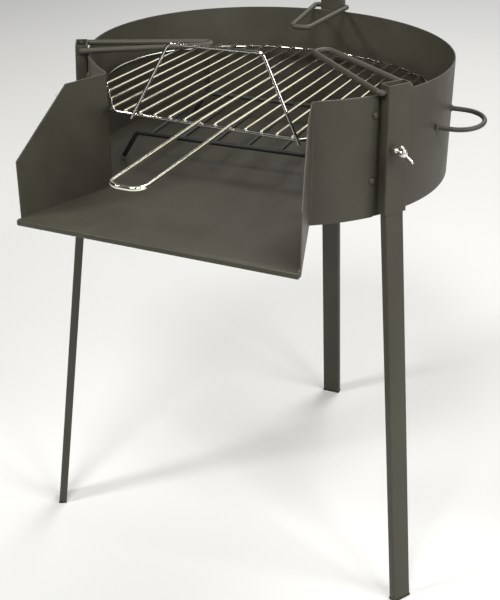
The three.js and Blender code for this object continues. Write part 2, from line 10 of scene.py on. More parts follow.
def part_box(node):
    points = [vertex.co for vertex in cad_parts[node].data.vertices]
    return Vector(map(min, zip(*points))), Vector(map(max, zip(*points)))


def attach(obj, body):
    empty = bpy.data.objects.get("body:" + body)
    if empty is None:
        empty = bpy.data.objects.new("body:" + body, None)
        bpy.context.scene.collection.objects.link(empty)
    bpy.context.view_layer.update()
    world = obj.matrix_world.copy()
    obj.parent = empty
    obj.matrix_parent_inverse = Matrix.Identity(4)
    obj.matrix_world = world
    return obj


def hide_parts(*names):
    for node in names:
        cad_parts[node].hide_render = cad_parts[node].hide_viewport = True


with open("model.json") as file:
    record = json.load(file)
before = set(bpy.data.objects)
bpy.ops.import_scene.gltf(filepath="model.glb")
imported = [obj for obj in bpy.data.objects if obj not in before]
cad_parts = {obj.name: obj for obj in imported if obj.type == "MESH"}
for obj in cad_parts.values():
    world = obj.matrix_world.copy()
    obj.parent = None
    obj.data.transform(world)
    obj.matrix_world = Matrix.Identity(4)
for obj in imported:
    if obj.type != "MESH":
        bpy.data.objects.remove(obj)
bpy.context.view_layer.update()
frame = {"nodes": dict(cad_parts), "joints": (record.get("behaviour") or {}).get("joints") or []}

# ------------------------------------------------------------------ places taken from the frame
MM = 0.001
wall_low, wall_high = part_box("drum_wall")
drum_radius = 237.5 * MM
axis = Vector((0.5 * (wall_low.x + wall_high.x), wall_high.y - drum_radius, 0))
axis.x = 0.5 * (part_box("wing_left")[0].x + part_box("wing_right")[1].x)
rim = wall_high.z
joints = {joint["name"]: joint for joint in frame["joints"]}


def station_angle(place):
    pivot = Vector(joints[f"arm_{place}_fold"]["pos_m"])
    return math.atan2(pivot.y - axis.y, pivot.x - axis.x)


places = ("left", "right", "rear")
stations = {place: station_angle(place) for place in places}
arm_raise = {place: math.radians(180 - joints[f"arm_{place}_fold"]["range_deg"][1]) for place in places}

# ------------------------------------------------------------------ sizes, heights from the rim
sheet = 1.5 * MM
gap = 0.3 * MM
wall_height = wall_high.z - wall_low.z
floor_level = -143 * MM
flange_inner = drum_radius + gap
flange_outer = flange_inner + sheet
opening_half = math.radians(34)
flange_half = math.radians(54)
wing_front = Vector((178 * MM, -335 * MM))
wing_kink = 63.5 * MM
wing_front_top = -74.5 * MM
hem_height = 8 * MM
hem_depth = 8.5 * MM
hem_half_length = 178.4 * MM

socket_width = 34 * MM
socket_depth = 15 * MM
socket_top = {"left": 10.2 * MM, "right": 13.5 * MM, "rear": 16 * MM}
socket_touch = 10.2 * MM
socket_bottom = -143.2 * MM
socket_lean = math.tan(math.radians(2.2))
leg_width = 29 * MM
leg_depth = 11.2 * MM
leg_wall = 1.4 * MM
leg_top = -16 * MM
leg_bend = socket_bottom - 1.5 * MM
leg_splay = math.tan(math.radians(7.1))
leg_bend_half = 9 * MM
cap_height = 3.4 * MM

arm_radius = 3.5 * MM
arm_pivot = 4.5 * MM
arm_root_half = {"left": 22 * MM, "right": 24.4 * MM, "rear": 24.4 * MM}
arm_root_shift = {"left": 0, "right": 0.2 * MM, "rear": 2.3 * MM}
arm_tip = {"left": 77 * MM, "right": 93.7 * MM, "rear": 102.5 * MM}
arm_tip_half = {"left": 8 * MM, "right": 11.7 * MM, "rear": 12.4 * MM}
arm_tip_shift = {"left": -3 * MM, "right": 3 * MM, "rear": 1.7 * MM}
arm_tip_bend = 9 * MM
arm_root_bend = 6 * MM

screw_height = -62 * MM
screw_side = -8 * MM
screw_radius = 3 * MM
thread_pitch = 1 * MM
thread_depth = 0.45 * MM
screw_turn = {"left": 20, "right": -52, "rear": 35}
nut_thickness = 5 * MM

handle_height = -61 * MM
handle_half_span = 33 * MM
handle_straight = 18 * MM
handle_tilt = 3 * MM
side_handle_radius = 3.1 * MM

wire_radius = 2 * MM
grill_radius = 219 * MM
grill_chord = 209 * MM
grill_corner = {-1: 124 * MM, 1: 116 * MM}
grill_side = math.radians(25)
bar_pitch = 19.5 * MM
bars_per_side = 10
handle_radius = 2.5 * MM
handle_reach = 437 * MM
handle_droop = math.radians(1.8)
handle_bars = (-0.5 * bar_pitch, 1.5 * bar_pitch)
bail_middle = 0.5 * bar_pitch + 0.5 * MM
bail_foot_half = 107.5 * MM
bail_top_half = 58 * MM
bail_height = {-1: 91.3 * MM, 1: 95.3 * MM}
bail_overhang = 4 * MM
grill_centre = Vector((0, 1 * MM, -50 * MM))
grill_yaw = math.radians(1.6)
grill_rise_y = -0.033
grill_rise_x = -0.016

grate_radius = 3 * MM
grate_bar_radius = 2.5 * MM
grate_level = -105 * MM
grate_front = -95 * MM
grate_rear = 105 * MM
grate_front_half = 154 * MM
grate_rear_half = 141 * MM
grate_foot_out = 21 * MM
grate_bar_pitch = 45 * MM
grate_bars_each_side = 3
grate_yaw = math.radians(3)

grill_turn = (Matrix.Rotation(math.atan(-grill_rise_x), 3, "Y")
              @ Matrix.Rotation(math.atan(grill_rise_y), 3, "X")
              @ Matrix.Rotation(grill_yaw, 3, "Z"))
grate_turn = Matrix.Rotation(grate_yaw, 3, "Z")


def from_rim(point):
    """A point given from the drum's axis and rim, in the row frame."""
    return Vector((axis.x + point[0], axis.y + point[1], rim + point[2]))


def at_station(place, x, y, z):
    """x outwards from the drum, y along the tangent, z up, at one of the three leg stations."""
    c, s = math.cos(stations[place]), math.sin(stations[place])
    return from_rim((x * c - y * s, x * s + y * c, z))


def on_grill(point):
    return from_rim(grill_turn @ Vector(point) + grill_centre)


def on_grate(point):
    return from_rim(grate_turn @ Vector(point))


def lean_at(z):
    """Distance of a socket's middle from the drum's axis at height z."""
    return drum_radius + gap + 0.2 * MM + socket_depth / 2 + (socket_touch - z) * socket_lean


# ------------------------------------------------------------------ material nodes
def link(tree, source, target):
    tree.links.new(source, target)


def node(tree, kind, inputs=None, **settings):
    made = tree.nodes.new(kind)
    for name, value in settings.items():
        setattr(made, name, value)
    for name, value in (inputs or {}).items():
        made.inputs[name].default_value = value
    return made


def noise(tree, scale, detail):
    """Noise in the piece's own coordinates; scale is in features per metre."""
    coordinates = node(tree, "ShaderNodeTexCoord")
    texture = node(tree, "ShaderNodeTexNoise", {"Scale": scale, "Detail": detail, "Roughness": 0.55})
    link(tree, coordinates.outputs["Object"], texture.inputs["Vector"])
    return texture.outputs["Fac"]


def remap(tree, source, low, high, to_low, to_high):
    spread = node(tree, "ShaderNodeMapRange", {
        "From Min": low, "From Max": high, "To Min": to_low, "To Max": to_high})
    link(tree, source, spread.inputs["Value"])
    return spread.outputs["Result"]


def mix_colour(tree, factor, a, b):
    mix = node(tree, "ShaderNodeMix", data_type="RGBA")
    link(tree, factor, mix.inputs[0])
    for value, socket in ((a, mix.inputs[6]), (b, mix.inputs[7])):
        if isinstance(value, tuple):
            socket.default_value = (*value, 1)
        else:
            link(tree, value, socket)
    return mix.outputs[2]


def math_node(tree, operation, a, b):
    made = node(tree, "ShaderNodeMath", operation=operation)
    for value, socket in ((a, made.inputs[0]), (b, made.inputs[1])):
        if isinstance(value, (int, float)):
            socket.default_value = value
        else:
            link(tree, value, socket)
    return made.outputs[0]


def edge_mask(tree, radius):
    """1 along sharp edges, 0 on open faces: where a rounded normal leaves the true one."""
    rounded = node(tree, "ShaderNodeBevel", {"Radius": radius}, samples=4)
    true = node(tree, "ShaderNodeNewGeometry")
    product = node(tree, "ShaderNodeVectorMath", operation="DOT_PRODUCT")
    link(tree, rounded.outputs["Normal"], product.inputs[0])
    link(tree, true.outputs["Normal"], product.inputs[1])
    still_flat, fully_sharp = 0.995, 0.9
    return remap(tree, product.outputs["Value"], still_flat, fully_sharp, 0.0, 1.0)


def bump(tree, height, strength, distance, onward=None):
    made = node(tree, "ShaderNodeBump", {"Strength": strength, "Distance": distance})
    link(tree, height, made.inputs["Height"])
    if onward is not None:
        link(tree, onward, made.inputs["Normal"])
    return made.outputs["Normal"]


def new_material(name, **sockets):
    material = bpy.data.materials.new(name)
    material.use_nodes = True
    tree = material.node_tree
    shader = tree.nodes["Principled BSDF"]
    for socket, value in sockets.items():
        shader.inputs[socket.replace("_", " ")].default_value = value
    return material, tree, shader


def paint_material(name, light, dark, speck_and_highlight, rough_low, rough_high, edge_highlight):
    """Satin sprayed paint: faint mottling, light specks, orange peel, and a painted highlight along sharp
    edges in a lighter colour.
    """
    material, tree, shader = new_material(name, Specular_IOR_Level=0.3)
    cloud = remap(tree, noise(tree, scale=7, detail=4), 0.35, 0.68, 0.0, 1.0)
    speck = remap(tree, noise(tree, scale=620, detail=2), 0.62, 0.74, 0.0, 0.35)
    colour = mix_colour(tree, cloud, dark, light)
    colour = mix_colour(tree, speck, colour, speck_and_highlight)
    # painted highlight: sharp edges take the lighter colour, broken up by noise, as a light line along
    # them
    edges = math_node(tree, "MULTIPLY", edge_mask(tree, 1.1 * MM),
                      remap(tree, noise(tree, scale=90, detail=3), 0.36, 0.62, 0.15, 1.0))
    edges = math_node(tree, "MULTIPLY", edges, edge_highlight)
    colour = mix_colour(tree, edges, colour, speck_and_highlight)
    link(tree, colour, shader.inputs["Base Color"])
    smear = remap(tree, noise(tree, scale=28, detail=5), 0.3, 0.7, rough_low, rough_high)
    link(tree, smear, shader.inputs["Roughness"])
    peel = bump(tree, noise(tree, scale=420, detail=2), strength=0.22, distance=0.12 * MM)
    wave = bump(tree, noise(tree, scale=16, detail=2), strength=0.10, distance=1.2 * MM, onward=peel)
    link(tree, wave, shader.inputs["Normal"])
    return material


def chrome_material(name, tint, warm, rough_low, rough_high):
    """Plated drawn wire: bright, with faint die lines and slightly uneven polish."""
    material, tree, shader = new_material(name, Metallic=1.0)
    cloud = remap(tree, noise(tree, scale=45, detail=3), 0.35, 0.7, 0.0, 1.0)
    link(tree, mix_colour(tree, cloud, tint, warm), shader.inputs["Base Color"])
    polish = remap(tree, noise(tree, scale=160, detail=4), 0.3, 0.7, rough_low, rough_high)
    link(tree, polish, shader.inputs["Roughness"])
    lines = bump(tree, noise(tree, scale=700, detail=2), strength=0.12, distance=0.05 * MM)
    link(tree, lines, shader.inputs["Normal"])
    return material


def plastic_material():
    material, tree, shader = new_material("moulded_plastic", Specular_IOR_Level=0.4)
    cloud = noise(tree, scale=60, detail=3)
    link(tree, mix_colour(tree, cloud, (0.012, 0.012, 0.012), (0.022, 0.022, 0.021)),
         shader.inputs["Base Color"])
    polish = remap(tree, noise(tree, scale=220, detail=3), 0.3, 0.7, 0.5, 0.68)
    link(tree, polish, shader.inputs["Roughness"])
    grain = bump(tree, noise(tree, scale=1500, detail=2), strength=0.3, distance=0.05 * MM)
    link(tree, grain, shader.inputs["Normal"])
    return material


def floor_material():
    material, tree, shader = new_material("studio_floor", Roughness=0.9, Specular_IOR_Level=0.1)
    colour = mix_colour(tree, noise(tree, scale=0.7, detail=2), (0.64, 0.64, 0.635), (0.68, 0.68, 0.675))
    link(tree, colour, shader.inputs["Base Color"])
    return material


# the lighter colour serves both the specks and the painted highlight along sharp edges; the last number
# sets how strongly the edges are lightened
paint = paint_material(
    "satin_paint", light=(0.050, 0.0475, 0.035), dark=(0.038, 0.036, 0.026),
    speck_and_highlight=(0.125, 0.121, 0.105), rough_low=0.42, rough_high=0.54, edge_highlight=0.75)
grate_paint = paint_material(
    "grate_paint", light=(0.022, 0.023, 0.021), dark=(0.014, 0.015, 0.014),
    speck_and_highlight=(0.070, 0.070, 0.066), rough_low=0.42, rough_high=0.60, edge_highlight=0.4)
chrome = chrome_material(
    "wire_chrome", tint=(0.78, 0.76, 0.68), warm=(0.84, 0.81, 0.70), rough_low=0.08, rough_high=0.18)
# painted shade: a darker copy of the wire chrome for the wires that run across the view (grill outline
# and bail), so they read darker than the bars
shaded_chrome = chrome_material(
    "shaded_chrome", tint=(0.44, 0.43, 0.41), warm=(0.54, 0.52, 0.48), rough_low=0.07, rough_high=0.16)
weld_chrome = chrome_material(
    "weld_chrome", tint=(0.62, 0.58, 0.50), warm=(0.72, 0.69, 0.62), rough_low=0.24, rough_high=0.42)
zinc = chrome_material(
    "zinc_plate", tint=(0.70, 0.70, 0.69), warm=(0.76, 0.75, 0.70), rough_low=0.22, rough_high=0.36)
plastic = plastic_material()


# ------------------------------------------------------------------ mesh building
edge_angle = 38                    # degrees between two faces from which their edge stays crisp


class Shape:
    """Vertices and faces gathered for one piece; kind picks the material slot."""

    def __init__(self):
        self.verts = []
        self.faces = []
        self.kinds = []

    def add(self, verts, faces, kind=0):
        start = len(self.verts)
        self.verts.extend(verts)
        self.faces.extend([tuple(start + i for i in face) for face in faces])
        self.kinds.extend([kind] * len(faces))


def make_piece(name, shape, body, nodes, materials, sharp=edge_angle, bevel=0.0):
    mesh = bpy.data.meshes.new(name)
    mesh.from_pydata([tuple(v) for v in shape.verts], [], shape.faces)
    mesh.update()
    for material in materials:
        mesh.materials.append(material)
    for polygon, kind in zip(mesh.polygons, shape.kinds):
        polygon.material_index = kind
    work = bmesh.new()
    work.from_mesh(mesh)
    bmesh.ops.recalc_face_normals(work, faces=work.faces)
    work.to_mesh(mesh)
    work.free()
    mesh.shade_smooth()
    mesh.set_sharp_from_angle(angle=math.radians(sharp))
    piece = bpy.data.objects.new(name, mesh)
    bpy.context.scene.collection.objects.link(piece)
    if bevel > 0:
        add_bevel(piece, bevel)
    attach(piece, body)
    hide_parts(*nodes)
    return piece


def add_bevel(piece, width):
    rounding = piece.modifiers.new("edge_rounding", "BEVEL")
    rounding.width = width
    rounding.segments = 2
    rounding.limit_method = "ANGLE"
    rounding.angle_limit = math.radians(edge_angle)
    rounding.harden_normals = True


def rounded_run(points, radius, steps):
    """Replaces the corners of an open run of points by short arcs."""
    points = [Vector(p) for p in points]
    count = len(points)
    out = []
    for i, point in enumerate(points):
        if i in (0, count - 1):
            out.append(point)
            continue
        a = points[i - 1] - point
        b = points[i + 1] - point
        half = a.angle(b) / 2
        wanted = radius[i] if isinstance(radius, list) else radius
        reach = min(wanted / math.tan(half), 0.45 * min(a.length, b.length))
        size = reach * math.tan(half)
        centre = point + (a.normalized() + b.normalized()).normalized() * (size / math.sin(half))
        start = point + a.normalized() * reach - centre
        end = point + b.normalized() * reach - centre
        turn = start.cross(end).normalized()
        sweep = start.angle(end)
        for k in range(steps + 1):
            out.append(centre + Matrix.Rotation(sweep * k / steps, 3, turn) @ start)
    return out


def rod(shape, points, radius, sides, closed=False, kind=0):
    """Round wire along a run of points, mitred at each corner, with chamfered ends."""
    points = [Vector(p) for p in points]
    count = len(points)
    rings = []
    side = None
    previous = None
    for i in range(count):
        after_point = points[(i + 1) % count]
        before = (points[i] - points[i - 1]).normalized() if (i > 0 or closed) else None
        after = (after_point - points[i]).normalized() if (i < count - 1 or closed) else before
        before = before or after
        if side is None:
            helper = Vector((0, 0, 1)) if abs(after.z) < 0.9 else Vector((1, 0, 0))
            side = helper.cross(before).normalized()
            previous = before
        side = previous.rotation_difference(before) @ side
        side = (side - before * side.dot(before)).normalized()
        previous = before
        other = before.cross(side)
        plane = (before + after).normalized()
        ring = []
        for k in range(sides):
            angle = 2 * math.pi * k / sides
            offset = side * (radius * math.cos(angle)) + other * (radius * math.sin(angle))
            ring.append(points[i] + offset - before * (offset.dot(plane) / before.dot(plane)))
        rings.append(ring)
    if not closed:
        rings = chamfered_ends(rings, points, radius)
    join_rings(shape, rings, closed, kind)


def chamfered_ends(rings, points, radius):
    """Narrows both cut ends by a share of the radius, over a length of the same share."""
    share = 0.22
    out = []
    for ring, point, inward in ((rings[0], points[0], points[1]), (rings[-1], points[-1], points[-2])):
        step = (inward - point).normalized() * (share * radius)
        face = [point + (v - point) * (1 - share) for v in ring]
        shoulder = [v + step for v in ring]
        out.append((face, shoulder))
    return [out[0][0], out[0][1], *rings[1:-1], out[1][1], out[1][0]]


def join_rings(shape, rings, closed=False, kind=0):
    size = len(rings[0])
    verts = [v for ring in rings for v in ring]
    faces = []
    for k in range(len(rings) if closed else len(rings) - 1):
        a = k * size
        b = ((k + 1) % len(rings)) * size
        for i in range(size):
            j = (i + 1) % size
            faces.append((a + i, a + j, b + j, b + i))
    if not closed:
        end = (len(rings) - 1) * size
        faces.append(tuple(reversed(range(size))))
        faces.append(tuple(end + i for i in range(size)))
    shape.add(verts, faces, kind)


def join_tube(shape, outer, inner):
    """Hollow tube: outer and inner rings of equal size, joined at both ends."""
    size = len(outer[0])
    verts = [v for ring in outer + inner for v in ring]
    base = len(outer) * size
    faces = []
    for start, flip in ((0, False), (base, True)):
        for k in range(len(outer) - 1):
            a = start + k * size
            b = a + size
            for i in range(size):
                j = (i + 1) % size
                face = (a + i, a + j, b + j, b + i)
                faces.append(tuple(reversed(face)) if flip else face)
    for row, flip in ((0, True), ((len(outer) - 1) * size, False)):
        for i in range(size):
            j = (i + 1) % size
            face = (row + i, row + j, base + row + j, base + row + i)
            faces.append(tuple(reversed(face)) if flip else face)
    shape.add(verts, faces)


def strip(shape, stations_along):
    """Upright sheet: each station gives the outer and inner plan point and its low and high level."""
    rings = []
    for outer, inner, low, high in stations_along:
        rings.append([
            from_rim((outer[0], outer[1], low)), from_rim((outer[0], outer[1], high)),
            from_rim((inner[0], inner[1], high)), from_rim((inner[0], inner[1], low)),
        ])
    join_rings(shape, rings)


def rounded_rectangle(depth, width, radius, steps):
    """Outline points (x across the depth, y across the width), corners rounded."""
    out = []
    for corner in range(4):
        cx = (depth / 2 - radius) * (1 if corner in (0, 3) else -1)
        cy = (width / 2 - radius) * (1 if corner in (0, 1) else -1)
        for k in range(steps + 1):
            angle = math.pi / 2 * (corner + k / steps)
            out.append((cx + radius * math.cos(angle), cy + radius * math.sin(angle)))
    return out


luck = random.Random(7)


def nugget(shape, centre, size, flat, kind=1):
    """Small uneven weld bead."""
    rows, columns = 5, 8
    centre = Vector(centre)
    stretch = Vector([size * luck.uniform(0.85, 1.15) for _ in range(3)])
    stretch.z *= flat
    rings = []
    for row in range(1, rows):
        polar = math.pi * row / rows
        ring = []
        for column in range(columns):
            turn = 2 * math.pi * column / columns
            reach = luck.uniform(0.93, 1.07)
            ring.append(centre + Vector((
                stretch.x * reach * math.sin(polar) * math.cos(turn),
                stretch.y * reach * math.sin(polar) * math.sin(turn),
                stretch.z * math.cos(polar),
            )))
        rings.append(ring)
    join_rings(shape, rings, kind=kind)


def weld_bead(shape, start, end, size, count):
    """Row of overlapping nuggets, as a stitched weld leaves."""
    for k in range(count):
        nugget(shape, start.lerp(end, k / (count - 1)), size, flat=0.9, kind=0)


# ------------------------------------------------------------------ drum, wings and floor
def plan_point(angle_from_front, radius):
    return Vector((radius * math.sin(angle_from_front), -radius * math.cos(angle_from_front)))


def drum_wall():
    shape = Shape()
    cut_half = opening_half + math.radians(1.6)
    steps = 200
    run = []
    for i in range(steps + 1):
        t = cut_half + (2 * math.pi - 2 * cut_half) * i / steps
        run.append((plan_point(t, drum_radius), plan_point(t, drum_radius - sheet), -wall_height, 0))
    strip(shape, run)
    make_piece("wall_sheet", shape, "drum", ["drum_wall"], [paint], bevel=0.35 * MM)


fold = plan_point(opening_half, flange_outer)
along = (wing_front - fold).normalized()
inward = Vector((along.y, -along.x))
wing_length = (wing_front - fold).length


def wing_top(distance):
    """Height of the wing's top edge at a distance from the fold."""
    if distance <= wing_kink:
        return 0.0
    return wing_front_top * (distance - wing_kink) / (wing_length - wing_kink)


def wing(side, name):
    """Curved flange on the drum, a pressed fold, then the flat flared wing; side is 1 or -1."""
    shape = Shape()
    run = []
    fold_radius = 2.6 * MM
    fold_start = opening_half + 0.012
    steps = 28
    for i in range(steps + 1):
        t = flange_half + (fold_start - flange_half) * i / steps
        run.append((plan_point(t, flange_outer), plan_point(t, flange_inner), 0))
    first, last = plan_point(fold_start, flange_outer), fold + along * fold_radius
    start_normal = -plan_point(fold_start, 1)
    fold_steps = 6
    for k in range(1, fold_steps):
        s = k / fold_steps
        outer = first * (1 - s) ** 2 + fold * (2 * s * (1 - s)) + last * s ** 2
        normal = (start_normal * (1 - s) + inward * s).normalized()
        run.append((outer, outer + normal * sheet, 0))
    kink_half = 3 * MM
    slope_steps = 8
    stops = [fold_radius, 0.5 * wing_kink, wing_kink - kink_half, wing_kink, wing_kink + kink_half]
    stops += [wing_kink + (wing_length - wing_kink) * k / slope_steps for k in range(1, slope_steps)]
    stops += [wing_length - sheet, wing_length]
    for distance in stops:
        outer = fold + along * distance
        run.append((outer, outer + inward * sheet, wing_top(distance)))
    flipped = [((o[0] * side, o[1]), (i[0] * side, i[1]), -wall_height, top) for o, i, top in run]
    strip(shape, flipped)
    make_piece(name, shape, "drum", [name], [paint], bevel=0.35 * MM)


def floor_outline():
    """Plan outline of the floor sheet: a disc inside the wall and the tray between the wings."""
    inset = sheet + gap + 0.1 * MM
    disc = drum_radius - sheet - gap
    start = opening_half + math.radians(1.4)
    steps = 180
    points = [plan_point(start + (2 * math.pi - 2 * start) * i / steps, disc) for i in range(steps + 1)]
    rear = fold + along * (-sheet - 0.6 * MM) + inward * inset
    front = fold + along * (wing_length - 0.5 * MM) + inward * inset
    lip = wing_front.y - 4 * MM
    # the disc ends on the left of the opening, so the tray is drawn from left to right
    points += [Vector((-rear.x, rear.y)), Vector((-front.x, front.y)), Vector((-front.x, lip))]
    points += [Vector((front.x, lip)), front, rear]
    return points


def floor_pan():
    shape = Shape()
    outline = floor_outline()
    top = [from_rim((p.x, p.y, floor_level)) for p in outline]
    bottom = [from_rim((p.x, p.y, floor_level - sheet)) for p in outline]
    join_rings(shape, [bottom, top])
    # rolled front hem: rounded section pulled along x, drawn in a little at both ends
    back = wing_front.y - 0.9 * MM
    centre_y = back - hem_depth / 2
    centre_z = floor_level - hem_height / 2
    section = rounded_rectangle(hem_depth, hem_height, 2.9 * MM, 6)
    taper = ((0, 0.72), (0.5 * MM, 0.9), (1.6 * MM, 1.0))
    stops = [(drawn_in - hem_half_length, scale) for drawn_in, scale in taper]
    stops += [(hem_half_length - drawn_in, scale) for drawn_in, scale in reversed(taper)]
    rings = []
    for x, scale in stops:
        rings.append([from_rim((x, centre_y + u * scale, centre_z + v * scale)) for u, v in section])
    join_rings(shape, rings)
    make_piece("floor_sheet", shape, "drum", ["floor_pan"], [paint], bevel=0.3 * MM)


# ------------------------------------------------------------------ sockets and legs
def station_ring(place, centre_x, z, section):
    return [at_station(place, centre_x + u, v, z) for u, v in section]


def socket(place):
    shape = Shape()
    outer = rounded_rectangle(socket_depth, socket_width, 2.2 * MM, 5)
    inner = rounded_rectangle(leg_depth + 2 * gap, socket_width - 2 * sheet, 0.9 * MM, 5)
    levels = (socket_bottom, socket_top[place])
    join_tube(shape, [station_ring(place, lean_at(z), z, outer) for z in levels],
              [station_ring(place, lean_at(z), z, inner) for z in levels])
    weld_levels = (-12 * MM, -75 * MM, -132 * MM)
    weld_half = 7 * MM
    x = drum_radius + 0.9 * MM
    # the wings leave no room for a weld on the front side of the two front sockets
    for side in {"left": (-1,), "right": (1,), "rear": (-1, 1)}[place]:
        y = side * (socket_width / 2 + 0.2 * MM)
        for z in weld_levels:
            top, bottom = (at_station(place, x, y, z + end * weld_half) for end in (1, -1))
            weld_bead(shape, top, bottom, 1.5 * MM, 9)
    make_piece(f"socket_sleeve_{place}", shape, "drum", [f"socket_{place}"], [paint],
               bevel=0.3 * MM)


def leg_middle(z):
    """Distance of a leg's middle from the drum's axis at height z, with a soft bend."""
    below = leg_bend - z
    straight = lean_at(leg_bend) + below * socket_lean
    extra = leg_splay - socket_lean
    if below <= -leg_bend_half:
        return straight
    if below >= leg_bend_half:
        return straight + below * extra
    return straight + extra * (below + leg_bend_half) ** 2 / (4 * leg_bend_half)


def leg(place):
    shape = Shape()
    foot = -rim + cap_height
    levels = [foot + (leg_bend - 14 * MM - foot) * k / 6 for k in range(7)]
    levels += [leg_bend + leg_bend_half * k / 3 for k in range(-3, 4)]
    levels += [leg_bend + 40 * MM, leg_top]
    outer = rounded_rectangle(leg_depth, leg_width, 2.6 * MM, 5)
    inner = rounded_rectangle(leg_depth - 2 * leg_wall, leg_width - 2 * leg_wall, 1.3 * MM, 5)
    join_tube(shape, [station_ring(place, leg_middle(z), z, outer) for z in levels],
              [station_ring(place, leg_middle(z), z, inner) for z in levels])
    make_piece(f"leg_tube_{place}", shape, f"leg_{place}", [f"leg_{place}"], [paint],
               bevel=0.25 * MM)


# ------------------------------------------------------------------ rods on the drum
def pan_arm(place):
    shape = Shape()
    pivot = lean_at(arm_pivot)
    root, shift = arm_root_half[place], arm_root_shift[place]
    tip_half, tip_shift = arm_tip_half[place], arm_tip_shift[place]
    end_y = socket_width / 2 - sheet - 0.8 * MM
    tip = arm_tip[place] + arm_radius - pivot
    run = [(0, -end_y, 0), (0, shift - root, 0), (tip, tip_shift - tip_half, 0),
           (tip, tip_shift + tip_half, 0), (0, shift + root, 0), (0, end_y, 0)]
    bends = [0, arm_root_bend, arm_tip_bend, arm_tip_bend, arm_root_bend, 0]
    raised = Matrix.Rotation(arm_raise[place], 3, "Y")
    points = []
    for point in rounded_run(run, bends, 10):
        lifted = raised @ point
        points.append(at_station(place, pivot + lifted.x, lifted.y, arm_pivot + lifted.z))
    rod(shape, points, arm_radius, 20)
    make_piece(f"arm_rod_{place}", shape, f"arm_{place}", [f"pan_arm_{place}"], [paint])


def side_handle(side, name):
    shape = Shape()
    weld_x = math.sqrt((drum_radius + gap) ** 2 - handle_half_span ** 2) + 0.9 * MM

    def at(x, share):
        return from_rim((side * x, share * handle_half_span, handle_height + share * handle_tilt))

    run = [at(weld_x, -1)]
    steps = 28
    for i in range(steps + 1):
        t = -math.pi / 2 + math.pi * i / steps
        run.append(at(weld_x + handle_straight + handle_half_span * math.cos(t), math.sin(t)))
    run.append(at(weld_x, 1))
    rod(shape, run, side_handle_radius, 18)
    beads = 10
    bead_ring = side_handle_radius + 0.3 * MM
    for end in (-1, 1):
        for k in range(beads):
            t = 2 * math.pi * k / beads
            around = Vector((0, bead_ring * math.cos(t), bead_ring * math.sin(t)))
            nugget(shape, at(weld_x + 0.6 * MM, end) + around, 1.2 * MM, 0.9, kind=0)
    make_piece(f"grip_rod_{name}", shape, "drum", [f"side_handle_{name}"], [paint])


# ------------------------------------------------------------------ clamp screws
def thread_radius(x, turn):
    """Radius of a rolled thread at a place along and around the shank."""
    phase = (x / thread_pitch - turn / (2 * math.pi)) % 1.0
    return screw_radius - thread_depth * abs(2 * phase - 1)


def screw_ears(shape, hub, bent):
    """Pair of rounded ears, in millimetres: an outline extruded by the ear's thickness."""
    outline = [(0.6, 0), (1.6, 4), (3.6, 9), (7.2, 13.4), (10.2, 15.8), (12.6, 15.7), (14.2, 13.8),
               (14.1, 11.2), (12.2, 8.6), (9.6, 5.4), (8.4, 0)]
    middle = Vector((8.5, 8.0))
    half, flat_half, rounding = 1.3, 0.9, 0.35
    layers = ((-half, rounding), (-flat_half, 0.0), (flat_half, 0.0), (half, rounding))
    for sign in (-1, 1):
        rings = []
        for depth, shrink in layers:
            ring = []
            for x, y in outline:
                point = Vector((x, y))
                point += (middle - point).normalized() * shrink
                ring.append(bent(hub + point.x * MM, sign * point.y * MM, sign * depth * MM))
            rings.append(ring)
        join_rings(shape, rings)


def wing_screw(place):
    shape = Shape()
    face = lean_at(screw_height) + socket_depth / 2
    tip = lean_at(screw_height) + leg_depth / 2 + 1.2 * MM
    hub = face + nut_thickness + 8 * MM
    turn = math.radians(screw_turn[place])

    def bent(x, y, z):
        c, s = math.cos(turn), math.sin(turn)
        return at_station(place, x, screw_side + y * c - z * s, screw_height + y * s + z * c)

    sides = 24
    turns = [2 * math.pi * i / sides for i in range(sides)]

    def circle(x, radius_at):
        return [bent(x, radius_at(t) * math.cos(t), radius_at(t) * math.sin(t)) for t in turns]

    shank = hub + 2 * MM - tip
    steps = int(shank / (0.25 * thread_pitch))
    rings = [circle(tip, lambda t: 0.8 * thread_radius(tip, t))]
    for k in range(1, steps + 1):
        x = tip + shank * k / steps
        rings.append(circle(x, lambda t: thread_radius(x, t)))
    join_rings(shape, rings)
    # the hub, in millimetres: place along the screw and radius
    profile = ((0, 4.6), (0.5, 5.5), (3.0, 5.6), (6.0, 4.9), (8.0, 4.3), (8.8, 3.6), (9.0, 2.6))
    join_rings(shape, [circle(hub + x * MM, lambda t: r * MM) for x, r in profile])
    screw_ears(shape, hub, bent)
    make_piece(f"clamp_screw_{place}", shape, f"screw_{place}", [f"wing_screw_{place}"], [zinc],
               sharp=50)


# ------------------------------------------------------------------ grill
def grill_reach(x):
    """Where a bar at x meets the outline in front and behind."""
    join = Vector((grill_radius * math.cos(grill_side), -grill_radius * math.sin(grill_side)))
    front = -grill_chord
    corner = grill_corner[-1 if x < 0 else 1]
    if abs(x) > corner:
        share = (abs(x) - corner) / (join.x - corner)
        front = -grill_chord + (join.y + grill_chord) * share
    return front, math.sqrt(grill_radius ** 2 - x * x)


